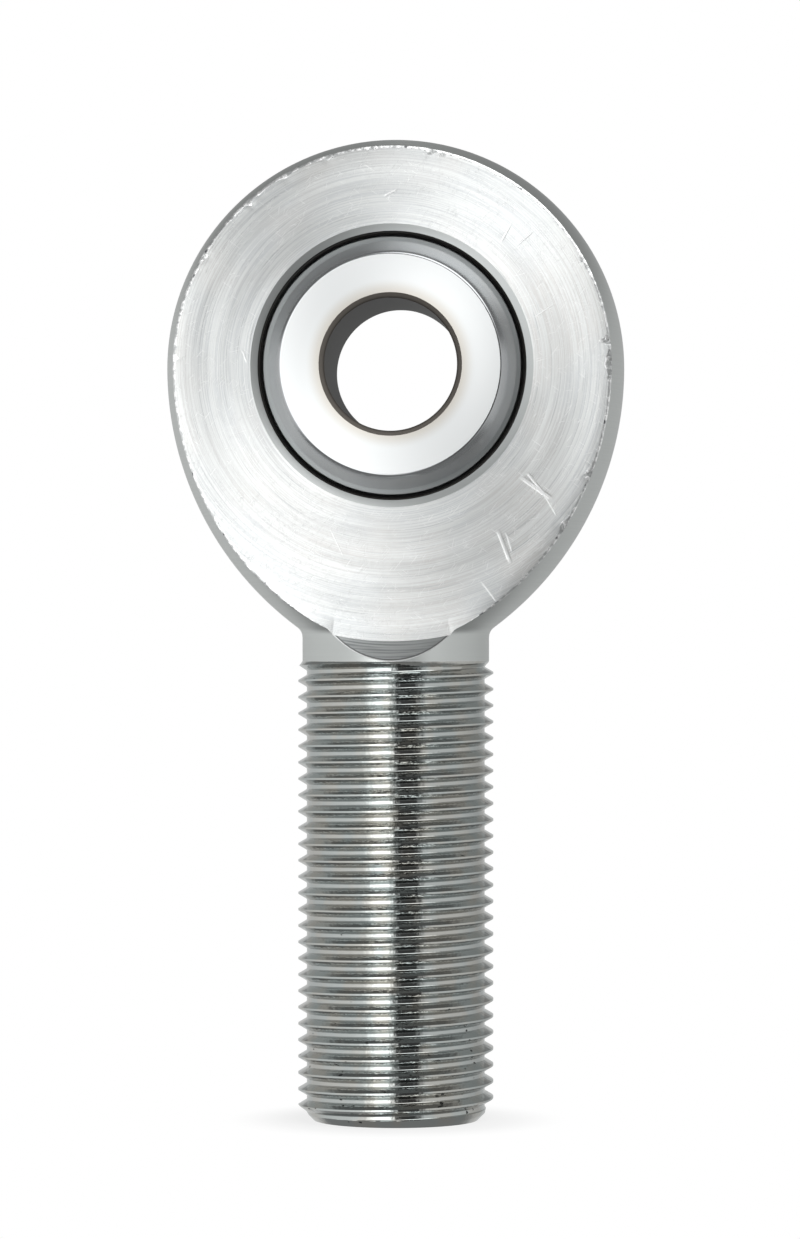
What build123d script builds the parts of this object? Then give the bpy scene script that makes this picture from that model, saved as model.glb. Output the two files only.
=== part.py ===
from build123d import *
from build123d.topology import SkipClean
import os
from math import asin, cos, degrees, radians, sin, sqrt, tan

# Male rod end with a 3/4-16 UNF shank and a 1/2 in ball bore.
# Millimetres. The origin is the centre of the ball, the bore runs along Y and the shank hangs along -Z.
INCH = 25.4

# Eye of the body: a shape turned about the shank, with two parallel flats machined square to the bore
HEAD_RADIUS = 0.875 * INCH
LOWER_HEAD_RADIUS = 31.3        # flatter arc that carries the eye down to the neck
BODY_WIDTH = 0.5625 * INCH      # over the two flats
FLAT_RADIUS = 26.45             # the facing cut is flat out to here, measured from the bore's axis
RUN_OUT_SLOPE = 45              # degrees; beyond that radius the cutter leaves the neck at this angle

# Shank and thread
NECK_RADIUS = 9.08              # blank of a rolled thread, close to its pitch diameter
NECK_FILLET = 1.2
CENTRE_TO_END = 2.875 * INCH
THREAD_LENGTH = 1.75 * INCH
THREAD_PITCH = INCH / 16
THREAD_RADIUS = 9.5
THREAD_DEPTH = 0.613 * THREAD_PITCH
CREST_WIDTH = THREAD_PITCH / 8
THREAD_RUN_UP = 1.2 * THREAD_PITCH  # below the neck the crests grow to full height over this length
FLANK_ANGLE = 30                # degrees, half of the thread's angle
TIP_RADIUS = 8.0                # of the flat inside the chamfer at the tip
CUTTER_PROUD = 0.08             # how far the thread cutter stands out of the thread

# Ball
BALL_RADIUS = 0.5625 * INCH
BALL_WIDTH = 0.75 * INCH
BORE_RADIUS = 0.25 * INCH
BORE_CHAMFER = 0.5
BALL_EDGE_FILLET = 0.35

# Race and liner, nested around the ball
RUNNING_GAP = 0.02
LINER_THICKNESS = 0.30
LINER_HALF_WIDTH = 6.5
RACE_RADIUS = 0.65625 * INCH    # outside, a press fit in the body
RACE_EDGE_Y = 6.85              # inner edge of the race, just below the body's face
RACE_RIM_RADIUS = 13.6          # here the body's lip ends and the race begins to show
LIP_EDGE = 0.15                 # thickness of that lip at the rim; it gets thicker at 45 degrees

HALF_WIDTH = BODY_WIDTH / 2
TIP_Z = -CENTRE_TO_END
THREAD_TOP_Z = TIP_Z + THREAD_LENGTH
LINER_INNER_RADIUS = BALL_RADIUS + RUNNING_GAP
LINER_OUTER_RADIUS = LINER_INNER_RADIUS + LINER_THICKNESS
RACE_INNER_RADIUS = LINER_OUTER_RADIUS + RUNNING_GAP


def arc(centre, radius, start, end):
    """A circular arc in the outline's plane, from one angle to another in degrees."""
    angles = (start, (start + end) / 2, end)
    points = [(centre[0] + radius * cos(radians(a)), centre[1] + radius * sin(radians(a))) for a in angles]
    return ThreePointArc(*points)


def blank_outline():
    """Half of the body's silhouette, as (radius, z): eye, neck fillet, neck, thread blank, chamfered tip."""
    head_centre = (HEAD_RADIUS - LOWER_HEAD_RADIUS, 0)
    fillet_r = NECK_RADIUS + NECK_FILLET
    reach = LOWER_HEAD_RADIUS + NECK_FILLET
    turn = degrees(asin(sqrt(reach**2 - (fillet_r - head_centre[0]) ** 2) / reach))
    fillet_z = -reach * sin(radians(turn))
    upper_head = arc((0, 0), HEAD_RADIUS, 90, 0)
    lower_head = arc(head_centre, LOWER_HEAD_RADIUS, 0, -turn)
    neck_fillet = arc((fillet_r, fillet_z), NECK_FILLET, 180 - turn, 180)
    shank = Polyline(
        neck_fillet @ 1,
        (NECK_RADIUS, THREAD_TOP_Z),
        (THREAD_RADIUS, THREAD_TOP_Z - THREAD_RUN_UP),
        (THREAD_RADIUS, TIP_Z + THREAD_RADIUS - TIP_RADIUS),
        (TIP_RADIUS, TIP_Z),
        (0, TIP_Z),
        (0, HEAD_RADIUS),
    )
    return upper_head + lower_head + neck_fillet + shank


def blank():
    """The turned body before its flats, thread and race seat, in quarters so each crest face is a quarter turn."""
    quarter = revolve(make_face(Plane.XZ * blank_outline()), Axis.Z, 90)
    return quarter + [Rot(0, 0, turn) * quarter for turn in (90, 180, 270)]


def thread_cutters():
    """One solid for each turn of the V groove, end to end along the helix."""
    start_z = TIP_Z - THREAD_PITCH
    turns = int((THREAD_TOP_Z - start_z) / THREAD_PITCH)
    helix = Helix(pitch=THREAD_PITCH, height=THREAD_PITCH, radius=THREAD_RADIUS, center=(0, 0, start_z))
    spread = tan(radians(FLANK_ANGLE))
    outer = (THREAD_PITCH - CREST_WIDTH) / 2 + CUTTER_PROUD * spread
    root = outer - (THREAD_DEPTH + CUTTER_PROUD) * spread
    groove = Polyline(
        (CUTTER_PROUD, -outer), (-THREAD_DEPTH, -root), (-THREAD_DEPTH, root), (CUTTER_PROUD, outer), close=True
    )
    across = Plane(origin=helix @ 0, x_dir=(1, 0, 0), z_dir=helix % 0)
    one_turn = sweep(across * make_face(groove), path=helix, is_frenet=True)
    return [Pos(0, 0, k * THREAD_PITCH) * one_turn for k in range(turns)]


def facing_cutter():
    """What is milled off the +Y side: flat across the eye, then sloping out through the neck."""
    depth = HEAD_RADIUS
    spread = depth / tan(radians(RUN_OUT_SLOPE))
    outline = Polyline(
        (0, HALF_WIDTH),
        (FLAT_RADIUS, HALF_WIDTH),
        (FLAT_RADIUS + spread, HALF_WIDTH + depth),
        (0, HALF_WIDTH + depth),
        close=True,
    )
    return revolve(make_face(outline), Axis.Y)


def race_seat():
    """The pocket that holds the race: a bore whose two lips are coined over the race's bevels."""
    lip = HALF_WIDTH - LIP_EDGE
    bevel = lip - (RACE_RADIUS - RACE_RIM_RADIUS)
    outline = Polyline(
        (0, HALF_WIDTH),
        (RACE_RIM_RADIUS, HALF_WIDTH),
        (RACE_RIM_RADIUS, lip),
        (RACE_RADIUS, bevel),
        (RACE_RADIUS, -bevel),
        (RACE_RIM_RADIUS, -lip),
        (RACE_RIM_RADIUS, -HALF_WIDTH),
        (0, -HALF_WIDTH),
        close=True,
    )
    return revolve(make_face(outline), Axis.Y)


def rod_end_body():
    with SkipClean():
        facing = facing_cutter()
        return blank() - [facing, mirror(facing, Plane.XZ), race_seat(), *thread_cutters()]


def race():
    """Hard ring swaged around the ball. Its dished rims show inside the body's lips."""
    angle = degrees(asin(RACE_EDGE_Y / RACE_INNER_RADIUS))
    bore = arc((0, 0), RACE_INNER_RADIUS, -angle, angle)
    ring = race_seat() & Cylinder(RACE_RADIUS + 1, BODY_WIDTH, rotation=(90, 0, 0))
    rim = Polyline(
        bore @ 1, (RACE_RIM_RADIUS, HALF_WIDTH), (0, HALF_WIDTH), (0, -HALF_WIDTH), (RACE_RIM_RADIUS, -HALF_WIDTH),
        bore @ 0,
    )
    return ring - revolve(make_face(bore + rim), Axis.Y)


def liner():
    """Thin spherical band of PTFE fabric between the race and the ball."""
    inner_angle = degrees(asin(LINER_HALF_WIDTH / LINER_INNER_RADIUS))
    outer_angle = degrees(asin(LINER_HALF_WIDTH / LINER_OUTER_RADIUS))
    inner = arc((0, 0), LINER_INNER_RADIUS, -inner_angle, inner_angle)
    outer = arc((0, 0), LINER_OUTER_RADIUS, -outer_angle, outer_angle)
    outline = inner + outer + Line(inner @ 0, outer @ 0) + Line(inner @ 1, outer @ 1)
    return revolve(make_face(outline), Axis.Y)


def ball():
    """Truncated sphere with a through bore."""
    half = BALL_WIDTH / 2
    crown = arc((0, 0), BALL_RADIUS, -degrees(asin(half / BALL_RADIUS)), degrees(asin(half / BALL_RADIUS)))
    mouth = BORE_RADIUS + BORE_CHAMFER
    wall_end = half - BORE_CHAMFER
    bore = Polyline(
        crown @ 1, (mouth, half), (BORE_RADIUS, wall_end), (BORE_RADIUS, -wall_end), (mouth, -half), crown @ 0
    )
    solid = revolve(make_face(crown + bore), Axis.Y)
    rims = solid.edges().filter_by(GeomType.CIRCLE).filter_by(lambda edge: edge.radius > mouth + 1)
    return fillet(rims, BALL_EDGE_FILLET)


os.makedirs("parts", exist_ok=True)
NODES = {"rod_end_body": rod_end_body, "race": race, "liner": liner, "ball": ball}
for name, make in NODES.items():
    export_step(make(), f"parts/{name}.step")
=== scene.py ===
import math
import random

import bmesh
import bpy
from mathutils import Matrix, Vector


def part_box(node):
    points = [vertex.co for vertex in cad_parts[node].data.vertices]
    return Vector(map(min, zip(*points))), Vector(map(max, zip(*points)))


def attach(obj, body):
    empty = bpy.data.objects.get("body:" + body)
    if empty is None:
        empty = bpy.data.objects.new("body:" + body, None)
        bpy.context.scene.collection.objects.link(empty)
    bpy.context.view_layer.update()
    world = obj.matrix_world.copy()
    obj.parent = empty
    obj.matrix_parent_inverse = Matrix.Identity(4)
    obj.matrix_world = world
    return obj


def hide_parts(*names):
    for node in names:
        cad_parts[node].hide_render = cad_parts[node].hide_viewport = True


# Everything is in metres, in the CAD frame: +Y runs along the bore, the shank hangs along -Z and the ball's
# centre is the origin.
MM = 0.001

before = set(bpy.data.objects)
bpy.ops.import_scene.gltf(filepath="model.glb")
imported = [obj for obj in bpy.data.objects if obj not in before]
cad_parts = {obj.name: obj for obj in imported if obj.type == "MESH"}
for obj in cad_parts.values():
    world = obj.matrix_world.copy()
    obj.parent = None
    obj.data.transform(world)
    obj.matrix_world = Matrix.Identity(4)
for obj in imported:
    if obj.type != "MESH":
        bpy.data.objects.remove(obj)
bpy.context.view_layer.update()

# ---------------------------------------------------------------- sizes, from the frame or from the design
BODY_LOW, BODY_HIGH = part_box("rod_end_body")
BALL_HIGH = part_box("ball")[1]
HEAD_R = BODY_HIGH.z
TIP_Z = BODY_LOW.z
BALL_R = BALL_HIGH.z
BALL_HALF = BALL_HIGH.y
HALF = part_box("race")[1].y               # half of the width over the body's flats

LOWER_HEAD_R = 31.3 * MM
NECK_R = 9.08 * MM
NECK_FILLET = 1.2 * MM
FLAT_R = 26.45 * MM
PITCH = 25.4 / 16 * MM
CREST_R = 9.5 * MM
ROOT_R = 8.657 * MM
TIP_R = 8.0 * MM
RIM_R = 13.6 * MM                        # the body's lip, where the race begins
RACE_EDGE_Y = 6.85 * MM
LINER_HALF = 6.5 * MM
LINER_THICK = 0.30 * MM
CLEARANCE = 0.02 * MM                    # on each side of the liner
LINER_IN = BALL_R + CLEARANCE
LINER_OUT = LINER_IN + LINER_THICK
RACE_IN = LINER_OUT + CLEARANCE
BORE_R = 6.35 * MM
BORE_CHAMFER = 0.5 * MM

TURN = 120                               # columns of the body's mesh round the shank
SHARP_ANGLE = 30                         # degrees between two faces from which their edge is drawn sharp
SOLVE_ROUNDS = 60                        # halvings of the interval, enough for full precision
WELD = 1e-7                              # points closer than this become one
DEG = math.pi / 180


# ---------------------------------------------------------------- mesh helpers
class MeshPen:
    """Collects vertices and faces. Each face carries the index of its material."""

    def __init__(self):
        self.points = []
        self.faces = []
        self.slots = []

    def add(self, x, y, z):
        self.points.append((x, y, z))
        return len(self.points) - 1

    def ring(self, points):
        return [self.add(*p) for p in points]

    def face(self, corners, slot=0):
        kept = [c for i, c in enumerate(corners) if c != corners[i - 1]]
        if len(kept) > 2:
            self.faces.append(kept)
            self.slots.append(slot)

    def strip(self, first, second, slot=0, closed=False):
        """Quads between two rows of the same length."""
        count = len(first) if closed else len(first) - 1
        for i in range(count):
            j = (i + 1) % len(first)
            self.face((first[i], first[j], second[j], second[i]), slot)

    def fan(self, centre, row, slot):
        """Triangles from a centre to a closed row."""
        for i in range(len(row)):
            self.face((centre, row[i], row[(i + 1) % len(row)]), slot)

    def build(self, name, materials):
        mesh = bpy.data.meshes.new(name)
        mesh.from_pydata(self.points, [], self.faces)
        for material in materials:
            mesh.materials.append(material)
        mesh.polygons.foreach_set("material_index", self.slots)
        bm = bmesh.new()
        bm.from_mesh(mesh)
        bmesh.ops.remove_doubles(bm, verts=bm.verts, dist=WELD)
        bmesh.ops.recalc_face_normals(bm, faces=bm.faces)
        bm.to_mesh(mesh)
        bm.free()
        mesh.shade_smooth()
        mesh.set_sharp_from_angle(angle=SHARP_ANGLE * DEG)
        piece = bpy.data.objects.new(name, mesh)
        bpy.context.scene.collection.objects.link(piece)
        return piece


def revolve_y(pen, outline, columns, slots):
    """Turns a closed outline of (radius, y) points about the bore's axis."""
    rows = []
    for radius, y in outline:
        angles = [2 * math.pi * i / columns for i in range(columns)]
        rows.append(pen.ring([(radius * math.cos(a), y, radius * math.sin(a)) for a in angles]))
    for first, second, slot in zip(rows, rows[1:] + rows[:1], slots):
        pen.strip(first, second, slot, closed=True)


def arc_points(radius, start_y, end_y, count):
    """Points of a sphere's outline between two heights along the bore."""
    a, b = math.asin(start_y / radius), math.asin(end_y / radius)
    return [
        (radius * math.cos(a + (b - a) * i / count), radius * math.sin(a + (b - a) * i / count))
        for i in range(count + 1)
    ]


# ---------------------------------------------------------------- the turned profile of the body
HEAD_CENTRE = HEAD_R - LOWER_HEAD_R
FILLET_CENTRE_R = NECK_R + NECK_FILLET
FILLET_REACH = LOWER_HEAD_R + NECK_FILLET
FILLET_Z = -math.sqrt(FILLET_REACH**2 - (FILLET_CENTRE_R - HEAD_CENTRE) ** 2)
ARC_END_Z = FILLET_Z * LOWER_HEAD_R / FILLET_REACH


def profile(z):
    """Radius of the turned body at height z, from the top of the eye down to the neck."""
    if z > 0:
        return math.sqrt(max(HEAD_R**2 - z**2, 0))
    if z > ARC_END_Z:
        return HEAD_CENTRE + math.sqrt(LOWER_HEAD_R**2 - z**2)
    if z > FILLET_Z:
        return FILLET_CENTRE_R - math.sqrt(NECK_FILLET**2 - (z - FILLET_Z) ** 2)
    return NECK_R


# ---------------------------------------------------------------- rod end body: one closed mesh
EDGE_BREAK = 0.10 * MM                   # the deburred edge between the flats and the turned side
EDGE_INSET = 0.24 * MM
EDGE_FADE = 4 * MM                       # the broken edge narrows to nothing over this height at the run-out
EDGE_SWELL = 1.001                       # its middle row is scaled by this about the bore's axis,
EDGE_LIFT = 0.012 * MM                   # and raised by this, which rounds it
HEAD_ROWS = 230                          # rows of the mesh from the top of the eye to the run-out's corner
CRESCENT_ROWS = 16
CAP_ROWS = 14
RUN_OUT_ROUNDS = 40                      # of the iteration that finds the run-out's edge
EDGE_SAMPLES = 6000                      # from which the side's evenly spaced edge is picked
SEAT_R = 16.66875 * MM
SEAT_LIP = 0.15 * MM
FACE, SIDE, RUN_OUT, THREAD, EDGE = range(5)


def solve(function, low, high):
    """The zero of a function that changes sign between low and high."""
    rising = function(high) > 0
    for _ in range(SOLVE_ROUNDS):
        middle = (low + high) / 2
        if (function(middle) > 0) == rising:
            high = middle
        else:
            low = middle
    return (low + high) / 2


def ease(t):
    t = min(max(t, 0), 1)
    return t * t * (3 - 2 * t)


CORNER_Z = solve(lambda z: profile(z) ** 2 - HALF**2 + z**2 - FLAT_R**2, -27 * MM, -24 * MM)
CORNER_X = math.sqrt(profile(CORNER_Z) ** 2 - HALF**2)


def edge_y(z):
    """Distance from the middle plane at which the turned side gives way to the broken edge."""
    return HALF - EDGE_BREAK * ease((z - CORNER_Z) / EDGE_FADE)


def side_edge():
    """The side's edge from the top of the eye to the corner of the run-out, as evenly spaced (x, z)."""
    top = solve(lambda z: profile(z) - edge_y(z), 15 * MM, HEAD_R)
    fine = []
    for i in range(EDGE_SAMPLES):
        z = top + (CORNER_Z - top) * (1 - math.cos(math.pi * i / EDGE_SAMPLES / 2))
        fine.append((math.sqrt(max(profile(z) ** 2 - edge_y(z) ** 2, 0)), z))
    fine.append((CORNER_X, CORNER_Z))
    lengths = [0]
    for a, b in zip(fine, fine[1:]):
        lengths.append(lengths[-1] + math.dist(a, b))
    even = [(0, top)]
    j = 0
    for k in range(1, HEAD_ROWS):
        want = lengths[-1] * k / HEAD_ROWS
        while lengths[j + 1] < want:
            j += 1
        part = (want - lengths[j]) / (lengths[j + 1] - lengths[j])
        even.append(tuple(a + (b - a) * part for a, b in zip(fine[j], fine[j + 1])))
    return even + [(CORNER_X, CORNER_Z)]


def run_out_edge():
    """Where the run-out cone leaves the neck, from the corner down to the middle, as (x, y, z)."""
    points = []
    for k in range(CRESCENT_ROWS + 1):
        x = CORNER_X * (1 - k / CRESCENT_ROWS)
        z = CORNER_Z
        for _ in range(RUN_OUT_ROUNDS):
            y = math.sqrt(profile(z) ** 2 - x**2)
            z = -math.sqrt((y - HALF + FLAT_R) ** 2 - x**2)
        points.append((x, y, z))
    return points


def section(pen, z, x, y):
    """Right and left rows at one height, each from the front edge (-y) round to the back edge (+y)."""
    radius = math.hypot(x, y)
    half_turn = math.atan2(y, x)
    steps = TURN // 2
    angles = [-half_turn + 2 * half_turn * i / steps for i in range(steps + 1)]
    right = pen.ring([(radius * math.cos(a), radius * math.sin(a), z) for a in angles])
    left = pen.ring([(-radius * math.cos(a), radius * math.sin(a), z) for a in angles])
    return right, left


def circle(pen, radius, z):
    """A full ring with the same columns as a section that has no flats, starting at the front."""
    angles = [2 * math.pi * i / TURN - math.pi / 2 for i in range(TURN)]
    return pen.ring([(radius * math.cos(a), radius * math.sin(a), z) for a in angles])


def add_cap(pen, top):
    """The round top of the eye, above the flats."""
    opening = math.acos(top / HEAD_R)
    angles = [opening * i / CAP_ROWS for i in range(1, CAP_ROWS + 1)]
    rows = [circle(pen, HEAD_R * math.sin(a), HEAD_R * math.cos(a)) for a in angles]
    pen.fan(pen.add(0, 0, HEAD_R), rows[0], SIDE)
    for first, second in zip(rows, rows[1:]):
        pen.strip(first, second, SIDE, closed=True)


def add_sides(pen, edge, crescent):
    """The turned sides between the two flats and, lower down, between the two run-outs."""
    rows = [section(pen, z, x, edge_y(z)) for x, z in edge]
    rows += [section(pen, z, x, y) for x, y, z in crescent[1:]]
    for (right_a, left_a), (right_b, left_b) in zip(rows, rows[1:]):
        pen.strip(right_a, right_b, SIDE)
        pen.strip(left_a, left_b, SIDE)


KNOCK_COUNT = 46


def knocks(seed):
    """Small knocks along the edge of one flat, as (angle, half width, depth)."""
    draw = random.Random(seed)
    return [
        (draw.uniform(-55, 235) * DEG, draw.uniform(0.5, 1.2) * DEG, draw.uniform(0.04, 0.36) * MM)
        for _ in range(KNOCK_COUNT)
    ]


KNOCKS = {-1: knocks(11), 1: knocks(12)}


def inset(x, z, side):
    """A point of the side's edge moved in to the outline of the flat, deeper where the edge was knocked."""
    angle = math.atan2(z, x)
    angle += 2 * math.pi if angle < -90 * DEG else 0
    knocked = sum(depth * math.exp(-(((angle - at) / width) ** 2)) for at, width, depth in KNOCKS[side])
    amount = (EDGE_INSET + knocked) * ease((z - CORNER_Z) / EDGE_FADE)
    scale = 1 - amount / math.hypot(x, z)
    return x * scale, z * scale


def face_loop(edge, crescent, side):
    """Outline of the flat as (x, z), clockwise from the top as seen from the front."""
    right = [inset(x, z, side) for x, z in edge]
    left = [inset(-x, z, side) for x, z in edge]
    bottom = [(x, -math.sqrt(FLAT_R**2 - x**2)) for x, _, _ in crescent[1:]]
    return right + bottom + [(-x, z) for x, z in reversed(bottom[:-1])] + left[:0:-1]


def add_flat(pen, edge, crescent, side):
    """One flat of the eye with its broken edge, from the turned side in to the race. side is -1 in front."""
    y = side * HALF
    for mirror in (1, -1):
        low = [(mirror * x, side * edge_y(z), z) for x, z in edge]
        high = [(x, y, z) for x, z in (inset(mirror * x, z, side) for x, z in edge)]
        middle = [tuple(0.5 * (a + b) for a, b in zip(p, q)) for p, q in zip(low, high)]
        middle = [(x * EDGE_SWELL, y_low + side * EDGE_LIFT, z * EDGE_SWELL) for x, y_low, z in middle]
        middle[-1] = low[-1]
        rows = [pen.ring(points) for points in (low, middle, high)]
        pen.strip(rows[0], rows[1], EDGE)
        pen.strip(rows[1], rows[2], EDGE)
    loop = face_loop(edge, crescent, side)
    rings = []
    for share in (0, 0.12, 0.5, 1):
        ring = []
        for x, z in loop:
            scale = 1 + (RIM_R / math.hypot(x, z) - 1) * share
            ring.append((x * scale, y, z * scale))
        rings.append(pen.ring(ring))
    for first, second in zip(rings, rings[1:]):
        pen.strip(first, second, FACE, closed=True)


def add_seat(pen, edge, crescent):
    """The hidden pocket round the race, which joins the two flats."""
    lip = HALF - SEAT_LIP
    bevel = lip - (SEAT_R - RIM_R)
    loop = face_loop(edge, crescent, 1)
    rows = []
    outline = ((RIM_R, -HALF), (RIM_R, -lip), (SEAT_R, -bevel), (SEAT_R, bevel), (RIM_R, lip), (RIM_R, HALF))
    for radius, y in outline:
        row = []
        for x, z in loop:
            scale = radius / math.hypot(x, z)
            row.append((x * scale, y, z * scale))
        rows.append(pen.ring(row))
    for first, second in zip(rows, rows[1:]):
        pen.strip(first, second, FACE, closed=True)


def add_run_out(pen, crescent, side):
    """The 45 degree crescent where the facing cut leaves the neck."""
    half = [((x, -math.sqrt(FLAT_R**2 - x**2)), (x, z)) for x, _, z in crescent]
    whole = half + [((-a[0], a[1]), (-b[0], b[1])) for a, b in reversed(half[:-1])]
    rows = []
    for share in (0, 0.25, 0.5, 0.75, 1):
        points = []
        for top, bottom in whole:
            x = top[0] + (bottom[0] - top[0]) * share
            z = top[1] + (bottom[1] - top[1]) * share
            points.append((x, side * (HALF + math.hypot(x, z) - FLAT_R), z))
        rows.append(pen.ring(points))
    for first, second in zip(rows, rows[1:]):
        pen.strip(first, second, RUN_OUT)


# One pitch of the thread, as (share of the pitch, radius), from a crest down over the root to the next crest
THREAD_FORM = (
    (0.000, CREST_R),
    (0.055, CREST_R),
    (0.325, ROOT_R + 0.115 * MM),
    (0.340, ROOT_R + 0.074 * MM),
    (0.361, ROOT_R + 0.035 * MM),
    (0.389, ROOT_R + 0.009 * MM),
    (0.420, ROOT_R),
    (0.580, ROOT_R),
    (0.611, ROOT_R + 0.009 * MM),
    (0.639, ROOT_R + 0.035 * MM),
    (0.660, ROOT_R + 0.074 * MM),
    (0.675, ROOT_R + 0.115 * MM),
    (0.945, CREST_R),
    (1.000, CREST_R),
)
THREAD_START = -28.39 * MM               # the neck ends here and the first crest begins to rise
RUN_UP = 0.4 * PITCH
CREST_PHASE = 0.01                       # turns by which the crests are rotated about the shank


def thread_radius(form_radius, z):
    """Radius of the thread's surface: it grows from the neck and is cut by the chamfer at the tip."""
    grown = ease((THREAD_START - z) / RUN_UP)
    return min(NECK_R + (form_radius - NECK_R) * grown, TIP_R + (z - TIP_Z))


def add_thread(pen):
    """A right-hand helical strip, cut level at the neck and at the tip."""
    turns = math.ceil((THREAD_START - TIP_Z) / PITCH) + 1
    columns = []
    for i in range(turns * TURN + 1):
        angle = -math.pi / 2 - 2 * math.pi * i / TURN
        column = []
        for share, radius in THREAD_FORM:
            z = THREAD_START + (1 + CREST_PHASE - i / TURN - share) * PITCH
            z = min(max(z, TIP_Z), THREAD_START)
            r = thread_radius(radius, z)
            column.append(pen.add(r * math.cos(angle), r * math.sin(angle), z))
        columns.append(column)
    for first, second in zip(columns, columns[1:]):
        pen.strip(first, second, THREAD)


def body_mesh(materials):
    pen = MeshPen()
    edge = side_edge()
    crescent = run_out_edge()
    add_cap(pen, edge[0][1])
    add_sides(pen, edge, crescent)
    for side in (-1, 1):
        add_flat(pen, edge, crescent, side)
        add_run_out(pen, crescent, side)
    add_seat(pen, edge, crescent)
    lowest = crescent[-1][2]
    neck = [circle(pen, profile(z), z) for z in (lowest, (lowest + THREAD_START) / 2, THREAD_START)]
    for first, second in zip(neck, neck[1:]):
        pen.strip(first, second, SIDE, closed=True)
    add_thread(pen)
    tip = circle(pen, TIP_R, TIP_Z)
    inner = circle(pen, 0.5 * TIP_R, TIP_Z)
    pen.strip(tip, inner, THREAD, closed=True)
    pen.fan(pen.add(0, 0, TIP_Z), inner, THREAD)
    return pen.build("rod_end", materials)


# ---------------------------------------------------------------- race, liner and ball
RIM, RACE_BORE = range(2)
END_FACE, CROWN, BORE_WALL = range(3)
BALL_EDGE_R = 0.35 * MM
RING_COLUMNS = 240                       # of the race and the liner, round the bore's axis
BALL_COLUMNS = 360
ARC_STEPS = 24                           # along the spherical faces of the race and the liner
EDGE_STEPS = 8                           # along the ball's rounded edge
CROWN_STEPS = 80


def race_mesh(materials):
    pen = MeshPen()
    lip = HALF - SEAT_LIP
    bevel = lip - (SEAT_R - RIM_R)
    bore = arc_points(RACE_IN, -RACE_EDGE_Y, RACE_EDGE_Y, ARC_STEPS)
    outside = [(RIM_R, HALF), (RIM_R, lip), (SEAT_R, bevel), (SEAT_R, -bevel), (RIM_R, -lip), (RIM_R, -HALF)]
    outline = bore + outside
    slots = [RACE_BORE] * ARC_STEPS + [RIM] * (len(outside) + 1)
    revolve_y(pen, outline, RING_COLUMNS, slots)
    return pen.build("race_ring", materials)


def liner_mesh(materials):
    pen = MeshPen()
    inner = arc_points(LINER_IN, -LINER_HALF, LINER_HALF, ARC_STEPS)
    outer = arc_points(LINER_OUT, LINER_HALF, -LINER_HALF, ARC_STEPS)
    revolve_y(pen, inner + outer, RING_COLUMNS, [0] * len(inner + outer))
    return pen.build("liner_band", materials)


def ball_outline():
    """The ball's section, from the bore round the crown and back, as (radius, y) points and materials."""
    end = BALL_HALF
    blend_r = BALL_R - BALL_EDGE_R
    centre_y = end - BALL_EDGE_R
    centre_r = math.sqrt(blend_r**2 - centre_y**2)
    crown_angle = math.atan2(centre_y, centre_r)
    corner = [
        (centre_r + BALL_EDGE_R * math.cos(a), centre_y + BALL_EDGE_R * math.sin(a))
        for a in (90 * DEG - (90 * DEG - crown_angle) * i / EDGE_STEPS for i in range(EDGE_STEPS + 1))
    ]
    crown = [
        (BALL_R * math.cos(a), BALL_R * math.sin(a))
        for a in (crown_angle * (1 - 2 * i / CROWN_STEPS) for i in range(1, CROWN_STEPS + 1))
    ]
    mouth = BORE_R + BORE_CHAMFER
    front = [(BORE_R, end - BORE_CHAMFER), (mouth, end), ((mouth + centre_r) / 2, end)]
    back = [(r, -y) for r, y in reversed(front)]
    outline = front + corner + crown + [(r, -y) for r, y in reversed(corner[:-1])] + back
    round_part = [CROWN] * (2 * EDGE_STEPS + CROWN_STEPS)
    slots = [BORE_WALL] + [END_FACE] * 2 + round_part + [END_FACE] * 2 + [BORE_WALL] * 2
    return outline, slots


def ball_mesh(materials):
    pen = MeshPen()
    outline, slots = ball_outline()
    revolve_y(pen, outline, BALL_COLUMNS, slots)
    return pen.build("ball_swivel", materials)


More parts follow.
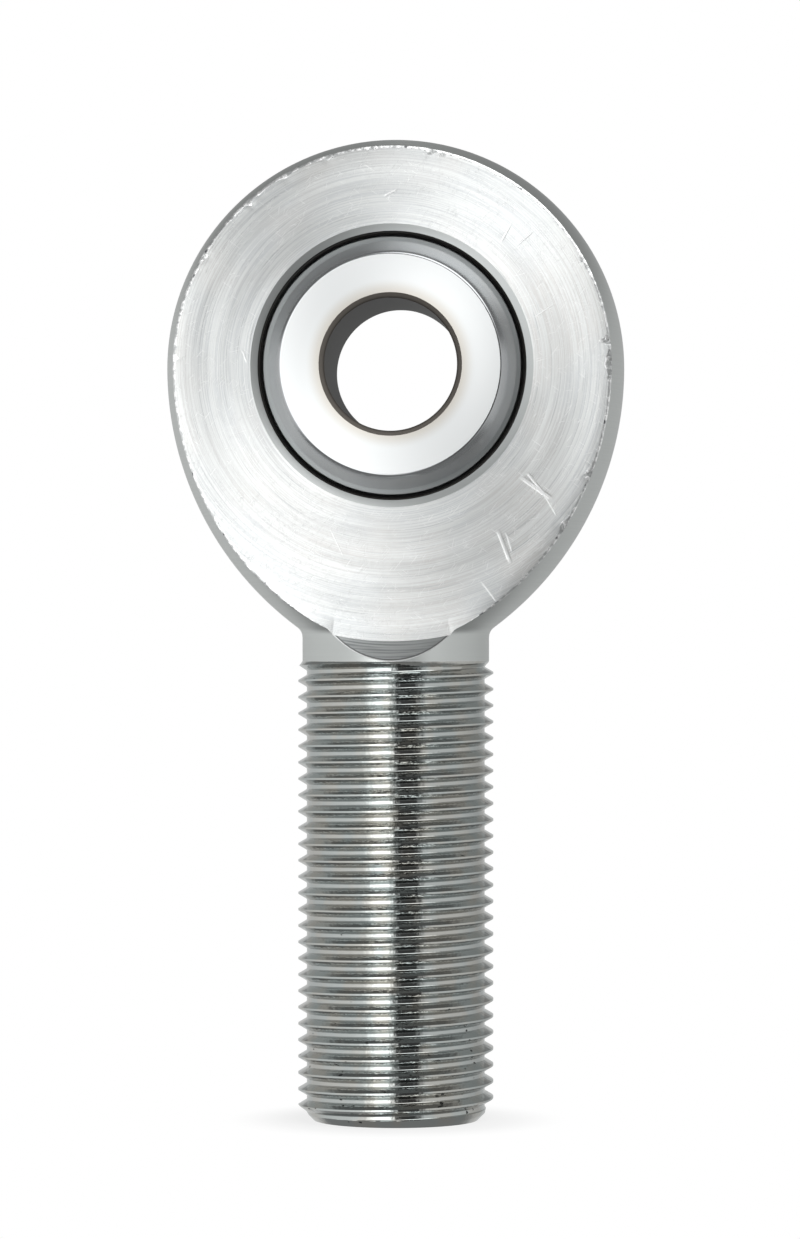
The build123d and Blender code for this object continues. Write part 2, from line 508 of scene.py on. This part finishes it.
# ---------------------------------------------------------------- material nodes
class Nodes:
    """A node tree, written as short calls. Most inputs take a plain value or another node's output."""

    def __init__(self, tree):
        self.nodes = tree.nodes
        self.links = tree.links

    def put(self, value, socket):
        if isinstance(value, bpy.types.NodeSocket):
            self.links.new(value, socket)
        else:
            socket.default_value = value

    def coordinates(self, kind):
        return self.nodes.new("ShaderNodeTexCoord").outputs[kind]

    def split(self, vector):
        """The x, y and z of a vector."""
        node = self.nodes.new("ShaderNodeSeparateXYZ")
        self.put(vector, node.inputs[0])
        return node.outputs

    def math(self, operation, a, b=0.0):
        node = self.nodes.new("ShaderNodeMath")
        node.operation = operation
        for value, socket in zip((a, b), node.inputs):
            self.put(value, socket)
        return node.outputs[0]

    def band(self, value, low, high, to_low=0.0, to_high=1.0):
        """value eased from to_low at low to to_high at high."""
        node = self.nodes.new("ShaderNodeMapRange")
        node.interpolation_type = "SMOOTHSTEP"
        for v, socket in zip((value, low, high, to_low, to_high), node.inputs):
            self.put(v, socket)
        return node.outputs[0]

    def length(self, vector):
        node = self.nodes.new("ShaderNodeVectorMath")
        node.operation = "LENGTH"
        self.put(vector, node.inputs[0])
        return node.outputs["Value"]

    def dot(self, vector, direction):
        node = self.nodes.new("ShaderNodeVectorMath")
        node.operation = "DOT_PRODUCT"
        self.put(vector, node.inputs[0])
        self.put(direction, node.inputs[1])
        return node.outputs["Value"]

    def camera_ray(self):
        """1 for what the camera sees directly, 0 for what reflections and lighting see."""
        return self.nodes.new("ShaderNodeLightPath").outputs["Is Camera Ray"]

    def light(self, kind, color, strength):
        """The output of a Background or Emission node."""
        node = self.nodes.new("ShaderNode" + kind)
        node.inputs["Color"].default_value = (*color, 1)
        self.put(strength, node.inputs["Strength"])
        return node.outputs[0]

    def mix_shaders(self, factor, a, b):
        """Shader a where factor is 0 and shader b where it is 1."""
        node = self.nodes.new("ShaderNodeMixShader")
        for value, socket in zip((factor, a, b), node.inputs):
            self.put(value, socket)
        return node.outputs[0]


class Paint(Nodes):
    """The material of a surface. Its patterns use the piece's own coordinates in millimetres."""

    def __init__(self, name, color, roughness, metallic=1.0):
        self.material = bpy.data.materials.new(name)
        self.material.use_nodes = True
        super().__init__(self.material.node_tree)
        self.shader = self.nodes["Principled BSDF"]
        self.shader.inputs["Metallic"].default_value = metallic
        self.shader.inputs["Roughness"].default_value = roughness
        self.shader.inputs["Base Color"].default_value = (*color, 1)
        scaled = self.nodes.new("ShaderNodeVectorMath")
        scaled.operation = "SCALE"
        scaled.inputs["Scale"].default_value = 1 / MM
        self.put(self.coordinates("Object"), scaled.inputs[0])
        self.place = scaled.outputs[0]
        self.x, self.y, self.z = self.split(self.place)

    def vector(self, x, y, z):
        node = self.nodes.new("ShaderNodeCombineXYZ")
        for value, socket in zip((x, y, z), node.inputs):
            self.put(value, socket)
        return node.outputs[0]

    def noise(self, vector, scale, detail=2.0, roughness=0.5):
        node = self.nodes.new("ShaderNodeTexNoise")
        self.put(vector, node.inputs["Vector"])
        node.inputs["Scale"].default_value = scale
        node.inputs["Detail"].default_value = detail
        node.inputs["Roughness"].default_value = roughness
        return node.outputs["Fac"]

    def mix(self, factor, a, b):
        """Colour a where factor is 0 and colour b where it is 1."""
        node = self.nodes.new("ShaderNodeMix")
        node.data_type = "RGBA"
        self.put(factor, node.inputs["Factor"])
        for value, socket in ((a, node.inputs[6]), (b, node.inputs[7])):
            self.put(value if isinstance(value, bpy.types.NodeSocket) else (*value, 1), socket)
        return node.outputs[2]

    def polar(self):
        """Distance from the bore's axis in millimetres, and the angle about it in radians."""
        x_squared = self.math("MULTIPLY", self.x, self.x)
        z_squared = self.math("MULTIPLY", self.z, self.z)
        radius = self.math("SQRT", self.math("ADD", x_squared, z_squared))
        return radius, self.math("ARCTAN2", self.z, self.x)

    def combine(self, x, z, x_share, z_share):
        """x * x_share + z * z_share, a distance along one direction in the plane of the flats."""
        return self.math("ADD", self.math("MULTIPLY", x, x_share), self.math("MULTIPLY", z, z_share))

    def bump(self, height, distance):
        """Relief whose full range is this many millimetres deep."""
        node = self.nodes.new("ShaderNodeBump")
        node.inputs["Strength"].default_value = 1.0
        node.inputs["Distance"].default_value = distance * MM
        self.put(height, node.inputs["Height"])
        self.links.new(node.outputs[0], self.shader.inputs["Normal"])

    def brushed(self, amount, x, y, z):
        """Spreads reflections along the direction (x, y, z), which lies square to the tool marks."""
        self.shader.inputs["Anisotropic"].default_value = amount
        self.put(self.vector(x, y, z), self.shader.inputs["Tangent"])

    def color(self, value):
        self.put(value, self.shader.inputs["Base Color"])

    def roughness(self, value):
        self.put(value, self.shader.inputs["Roughness"])


def scratches(paint, bearing, across, along, level, seed):
    """Thin straight scratches in the plane of the flats, all at one bearing in degrees."""
    c, s = math.cos(bearing * DEG), math.sin(bearing * DEG)
    u = paint.combine(paint.x, paint.z, c * along, s * along)
    v = paint.combine(paint.x, paint.z, -s * across, c * across)
    lines = paint.noise(paint.vector(u, v, seed), 1.0, 1)
    return paint.band(lines, level, level + 0.05)


def mark(paint, start, end, width):
    """One scratch from start to end, as (x, z) in millimetres, fading out towards its ends."""
    length = math.dist(start, end)
    c, s = (end[0] - start[0]) / length, (end[1] - start[1]) / length
    x = paint.math("SUBTRACT", paint.x, (start[0] + end[0]) / 2)
    z = paint.math("SUBTRACT", paint.z, (start[1] + end[1]) / 2)
    along = paint.combine(x, z, c, s)
    across = paint.combine(x, z, -s, c)
    line = paint.band(paint.math("ABSOLUTE", across), width, 0.3 * width)
    return paint.math("MULTIPLY", line, paint.band(paint.math("ABSOLUTE", along), length / 2, length / 4))


# Deeper marks on the front flat, painted near white as glints, as (start, end, width) in millimetres
FACE_MARKS = (
    ((12.2, -10.6), (15.6, -13.0), 0.28),
    ((12.9, -10.2), (14.7, -12.4), 0.18),
    ((10.1, -15.6), (11.5, -19.2), 0.24),
    ((10.9, -15.9), (11.6, -18.0), 0.10),
    ((14.3, -11.9), (15.9, -14.6), 0.09),
    ((8.4, -20.5), (10.3, -23.0), 0.09),
    ((10.4, 11.6), (11.5, 13.6), 0.13),
    ((12.0, 11.4), (13.6, 12.8), 0.09),
    ((13.6, 4.5), (15.8, 6.0), 0.10),
    ((-0.8, 16.2), (0.6, 16.9), 0.14),
    ((10.2, 17.9), (10.8, 18.8), 0.10),
    ((-6.0, -15.5), (-4.6, -18.4), 0.08),
    ((-14.4, 1.6), (-13.9, 0.2), 0.12),
    ((-13.2, -10.0), (-11.0, -12.2), 0.07),
)


def turned_face():
    """The flats of the eye, faced with concentric tool marks and scratched, the deeper marks painted near
    white as glints.
    """
    paint = Paint("turned_face", (0.74, 0.75, 0.75), 0.42)
    radius, angle = paint.polar()
    c, s = paint.math("COSINE", angle), paint.math("SINE", angle)

    def arcs(fineness, reach, seed):
        shifted = paint.math("ADD", paint.math("MULTIPLY", radius, fineness), seed)
        around = paint.vector(shifted, paint.math("MULTIPLY", c, reach), paint.math("MULTIPLY", s, reach))
        return paint.noise(around, 1.0)

    fine, medium, broad = arcs(10.0, 1.8, 5), arcs(7.0, 2.2, 40), arcs(0.5, 1.2, 90)
    lines = scratches(paint, 52, 9, 0.5, 0.66, 3)
    for bearing, seed in ((-35, 21), (15, 37), (80, 55)):
        lines = paint.math("MAXIMUM", lines, scratches(paint, bearing, 9, 0.6, 0.69, seed))
    deep = mark(paint, *FACE_MARKS[0])
    for each in FACE_MARKS[1:]:
        deep = paint.math("MAXIMUM", deep, mark(paint, *each))
    front = paint.band(paint.y, 0.5, -0.5)
    deep = paint.math("MULTIPLY", deep, front)
    cloud = paint.band(paint.noise(paint.place, 0.09), 0.40, 0.60)
    tint = paint.mix(cloud, (0.66, 0.675, 0.685), (0.69, 0.68, 0.67))
    streaked = paint.mix(paint.band(fine, 0.35, 0.65), tint, (0.79, 0.80, 0.795))
    shaded = paint.mix(paint.band(medium, 0.60, 0.74), streaked, (0.58, 0.59, 0.595))
    scratched = paint.mix(paint.math("MULTIPLY", lines, 0.55), shaded, (1.0, 1.0, 1.0))
    # Painted highlight: the deeper marks are turned near white so that they show as glints.
    paint.color(paint.mix(paint.math("MULTIPLY", deep, 0.8), scratched, (1.0, 1.0, 1.0)))
    paint.roughness(paint.band(broad, 0.3, 0.7, 0.38, 0.47))
    paint.brushed(0.78, paint.x, 0.0, paint.z)
    relief = paint.math("SUBTRACT", paint.math("ADD", fine, medium), paint.math("MULTIPLY", lines, 0.6))
    paint.bump(paint.math("ADD", relief, paint.math("MULTIPLY", deep, 2.0)), 0.007)
    return paint.material


def satin_side():
    """The turned outside of the eye and the neck."""
    paint = Paint("satin_side", (0.64, 0.66, 0.65), 0.40)
    marks = paint.noise(paint.vector(0, 0, paint.math("MULTIPLY", paint.z, 7)), 1.0, 3, 0.6)
    paint.roughness(paint.band(marks, 0.3, 0.7, 0.36, 0.46))
    paint.brushed(0.4, 0.0, 0.0, 1.0)
    paint.bump(marks, 0.003)
    return paint.material


def knocked_edge():
    """The deburred edge of the flats, with white flecks painted as glints on its burrs, and dark knocks."""
    paint = Paint("knocked_edge", (0.80, 0.80, 0.80), 0.34)
    flecks = paint.noise(paint.place, 1.7, 2)
    # Painted highlight: white flecks stand in for the light that glints on the burrs.
    with_painted_glints = paint.mix(paint.band(flecks, 0.46, 0.58), (0.66, 0.67, 0.67), (1.0, 1.0, 1.0))
    dents = paint.band(paint.noise(paint.place, 1.1, 1), 0.66, 0.72)
    paint.color(paint.mix(dents, with_painted_glints, (0.18, 0.18, 0.19)))
    paint.bump(flecks, 0.08)
    return paint.material


def run_out():
    """Where the facing cut leaves the neck: coarser marks, and a painted highlight line along the lower edge
    with a painted shade line beside it.
    """
    paint = Paint("run_out", (0.56, 0.57, 0.57), 0.38)
    radius, angle = paint.polar()
    around = paint.vector(paint.math("MULTIPLY", radius, 7), paint.math("MULTIPLY", angle, 3), 0)
    marks = paint.noise(around, 1.0, 2)
    x_squared, y_squared = (paint.math("MULTIPLY", a, a) for a in (paint.x, paint.y))
    depth = paint.math("SUBTRACT", NECK_R / MM, paint.math("SQRT", paint.math("ADD", x_squared, y_squared)))
    lined = paint.mix(paint.band(marks, 0.38, 0.62), (0.25, 0.26, 0.26), (0.44, 0.45, 0.45))
    # Painted highlight: a pale line along the lower edge, where the run-out meets the neck.
    lined_with_highlight = paint.mix(paint.band(depth, 0.04, 0.12), (0.85, 0.85, 0.85), lined)
    # Painted shade: a dark line just past the pale one.
    from_shade_line = paint.math("ABSOLUTE", paint.math("SUBTRACT", depth, 0.17))
    paint.color(paint.mix(paint.band(from_shade_line, 0.07, 0.03), lined_with_highlight, (0.16, 0.16, 0.16)))
    paint.brushed(0.6, paint.x, 0.0, paint.z)
    paint.bump(marks, 0.012)
    return paint.material


def rolled_thread():
    """Smooth rolled thread, with handling nicks that grow towards the tip."""
    paint = Paint("rolled_thread", (0.50, 0.52, 0.50), 0.07)
    streaks = paint.noise(paint.vector(paint.x, paint.y, paint.math("MULTIPLY", paint.z, 4)), 1.2, 3)
    cloud = paint.band(paint.noise(paint.place, 0.35), 0.42, 0.62)
    tint = paint.mix(cloud, (0.485, 0.51, 0.505), (0.515, 0.51, 0.485))
    spots = paint.noise(paint.vector(paint.x, paint.y, paint.math("MULTIPLY", paint.z, 1.6)), 1.15, 1)
    near_tip = paint.band(paint.z, -50.0, -72.0, 0.0, 0.07)
    nicks = paint.band(paint.math("ADD", spots, near_tip), 0.79, 0.83)
    paint.color(paint.mix(nicks, tint, (0.07, 0.07, 0.07)))
    polish = paint.band(streaks, 0.3, 0.7, 0.05, 0.10)
    paint.roughness(paint.math("ADD", polish, paint.math("MULTIPLY", nicks, 0.3)))
    paint.bump(paint.noise(paint.place, 1.6, 2), 0.030)
    return paint.material


def race_rim():
    paint = Paint("race_rim", (0.56, 0.575, 0.57), 0.42)
    radius, angle = paint.polar()
    marks = paint.noise(paint.vector(paint.math("MULTIPLY", radius, 10), angle, 0), 1.0, 2)
    paint.brushed(0.3, paint.x, 0.0, paint.z)
    paint.bump(marks, 0.003)
    return paint.material


def race_bore():
    return Paint("race_bore", (0.30, 0.30, 0.30), 0.4).material


def liner_fabric():
    return Paint("liner_fabric", (0.022, 0.020, 0.018), 0.75, metallic=0.0).material


def ball_end_face():
    """Ground flat, with a warm stain round the bore."""
    clean = (0.77, 0.78, 0.785)
    paint = Paint("ball_end_face", clean, 0.38)
    radius = paint.polar()[0]
    stain = paint.band(radius, 8.2, 6.8)
    paint.color(paint.mix(stain, clean, (0.64, 0.61, 0.565)))
    paint.brushed(0.50, paint.x, 0.0, paint.z)
    return paint.material


def ball_crown():
    return Paint("ball_crown", (0.45, 0.46, 0.47), 0.16).material


def ball_bore_wall():
    """Painted shade: a near-black, dull bore with slightly lighter chamfers, in place of the shade deep
    inside it.
    """
    # Painted shade: near black, standing in for the shade inside the ball's bore.
    dark = (0.030, 0.026, 0.022)
    paint = Paint("ball_bore_wall", dark, 0.5, metallic=0.0)
    mouth = paint.band(paint.math("ABSOLUTE", paint.y), 8.95, 9.30)
    paint.color(paint.mix(mouth, dark, (0.15, 0.135, 0.12)))
    paint.shader.inputs["Specular IOR Level"].default_value = 0.2
    return paint.material


# ---------------------------------------------------------------- pieces
def place(piece, body, node):
    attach(piece, body)
    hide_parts(node)


body_metals = [turned_face(), satin_side(), run_out(), rolled_thread(), knocked_edge()]
place(body_mesh(body_metals), "body", "rod_end_body")
place(race_mesh([race_rim(), race_bore()]), "body", "race")
place(liner_mesh([liner_fabric()]), "liner", "liner")
place(ball_mesh([ball_end_face(), ball_crown(), ball_bore_wall()]), "ball", "ball")


# ---------------------------------------------------------------- camera
VIEW_TURN = 3.15 * DEG                   # the camera stands slightly to the right of square on
VIEW_DISTANCE = 448.8 * MM
VIEW_SIDE = 0.41 * MM
VIEW_Z = -24.37 * MM
FRAME_HEIGHT = 120.67 * MM               # what the picture's height covers at the shank
SENSOR = 36


def add_camera():
    data = bpy.data.cameras.new("camera")
    data.sensor_fit = "VERTICAL"
    data.sensor_height = SENSOR
    data.lens = SENSOR * VIEW_DISTANCE / FRAME_HEIGHT
    data.clip_start = 0.01
    camera = bpy.data.objects.new("camera", data)
    c, s = math.cos(VIEW_TURN), math.sin(VIEW_TURN)
    camera.location = (VIEW_DISTANCE * s + VIEW_SIDE * c, -VIEW_DISTANCE * c + VIEW_SIDE * s, VIEW_Z)
    camera.rotation_euler = (90 * DEG, 0, VIEW_TURN)
    bpy.context.scene.collection.objects.link(camera)
    bpy.context.scene.camera = camera


# ---------------------------------------------------------------- surroundings
BACKDROP = 1.0
# Brightness of the studio round the horizon, as (degrees to the right of the camera, level)
HORIZON = (
    (-180, 0.62),
    (-134, 0.72),
    (-100, 0.85),
    (-62, 0.95),
    (-42, 1.10),
    (-31, 1.90),
    (-24, 2.70),
    (-11, 2.70),
    (-2, 0.75),
    (4, 0.07),
    (26, 0.06),
    (40, 0.82),
    (90, 0.74),
    (134, 0.54),
    (180, 0.62),
)
HORIZON_TOP = 3.0                        # the colour ramp holds levels as shares of this
FADE_ABOVE = (8, 20)                     # degrees of elevation over which the horizon gives way to the sky
FADE_BELOW = (-24, -40)
SKY_LEVEL = 0.27                         # well above and below the horizon
KEY_DIRECTION = (0.36, -0.60, 0.71)
KEY_SPREAD = (34, 14)                    # degrees from its middle at which the softbox begins and is full
KEY_LEVEL = 2.3
FLOOR_RADIUS = 0.8
FLOOR_GAP = 0.02 * MM                    # below the tip
CONTACT_SHADOW = (9, 17)                 # millimetres from the shank's axis over which the shading fades out
BACKDROP_SHARE = 0.80                    # how much of the backdrop's white covers that shading under the tip


def horizon_level(tree, direction):
    """Brightness of the studio by bearing alone, from HORIZON."""
    turn = tree.math("ARCTAN2", direction[0], tree.math("MULTIPLY", direction[1], -1.0))
    share = tree.math("ADD", tree.math("DIVIDE", tree.math("SUBTRACT", turn, VIEW_TURN), 2 * math.pi), 0.5)
    ramp = tree.nodes.new("ShaderNodeValToRGB")
    stops = ramp.color_ramp.elements
    for degrees, level in HORIZON:
        at = degrees / 360 + 0.5
        stop = stops[0] if at == 0 else stops[-1] if at == 1 else stops.new(at)
        stop.position = at
        stop.color = (*[level / HORIZON_TOP] * 3, 1)
    tree.put(tree.math("FRACT", share), ramp.inputs[0])
    return tree.math("MULTIPLY", ramp.outputs[0], HORIZON_TOP)


def studio_level(tree):
    """Brightness of the studio in every direction: the band round the horizon, the sky and the softbox."""
    generated = tree.coordinates("Generated")
    direction = tree.split(generated)
    horizon = horizon_level(tree, direction)
    toward_key = tree.dot(generated, Vector(KEY_DIRECTION).normalized())
    key = tree.band(toward_key, *[math.cos(a * DEG) for a in KEY_SPREAD], 0.0, KEY_LEVEL)
    above, below = (
        tree.band(direction[2], *[math.sin(a * DEG) for a in fade]) for fade in (FADE_ABOVE, FADE_BELOW)
    )
    away = tree.math("MAXIMUM", above, below)
    near = tree.math("MULTIPLY", horizon, tree.math("SUBTRACT", 1.0, away))
    return tree.math("ADD", tree.math("ADD", near, tree.math("MULTIPLY", away, SKY_LEVEL)), key)


def add_sky():
    """White behind the object for the camera, and the studio for everything else."""
    world = bpy.data.worlds.new("studio")
    world.use_nodes = True
    bpy.context.scene.world = world
    world.node_tree.nodes.clear()
    tree = Nodes(world.node_tree)
    studio = tree.light("Background", (0.99, 1.0, 0.995), studio_level(tree))
    white = tree.light("Background", (1, 1, 1), BACKDROP)
    chosen = tree.mix_shaders(tree.camera_ray(), studio, white)
    tree.put(chosen, tree.nodes.new("ShaderNodeOutputWorld").inputs[0])


def floor_material():
    """Pale, and hidden from the camera by the backdrop's white except round the tip."""
    paint = Paint("floor", (0.80, 0.80, 0.80), 0.9, metallic=0.0)
    fade = paint.band(paint.length(paint.place), *CONTACT_SHADOW, BACKDROP_SHARE)
    hidden = paint.math("MULTIPLY", fade, paint.camera_ray())
    white = paint.light("Emission", (1, 1, 1), BACKDROP)
    chosen = paint.mix_shaders(hidden, paint.shader.outputs[0], white)
    paint.put(chosen, paint.nodes["Material Output"].inputs[0])
    return paint.material


def add_floor():
    """The floor under the tip. Reflections don't show it."""
    angles = [a * DEG for a in range(0, 360, 4)]
    corners = [(FLOOR_RADIUS * math.cos(a), FLOOR_RADIUS * math.sin(a), 0) for a in angles]
    mesh = bpy.data.meshes.new("floor")
    mesh.from_pydata(corners, [], [range(len(corners))])
    mesh.materials.append(floor_material())
    floor = bpy.data.objects.new("floor", mesh)
    floor.location = (0, 0, TIP_Z - FLOOR_GAP)
    floor.visible_glossy = False
    bpy.context.scene.collection.objects.link(floor)


add_camera()
add_sky()
add_floor()

scene = bpy.context.scene
scene.view_settings.view_transform = "Standard"
scene.cycles.max_bounces = 12
scene.cycles.glossy_bounces = 8
scene.cycles.caustics_reflective = True
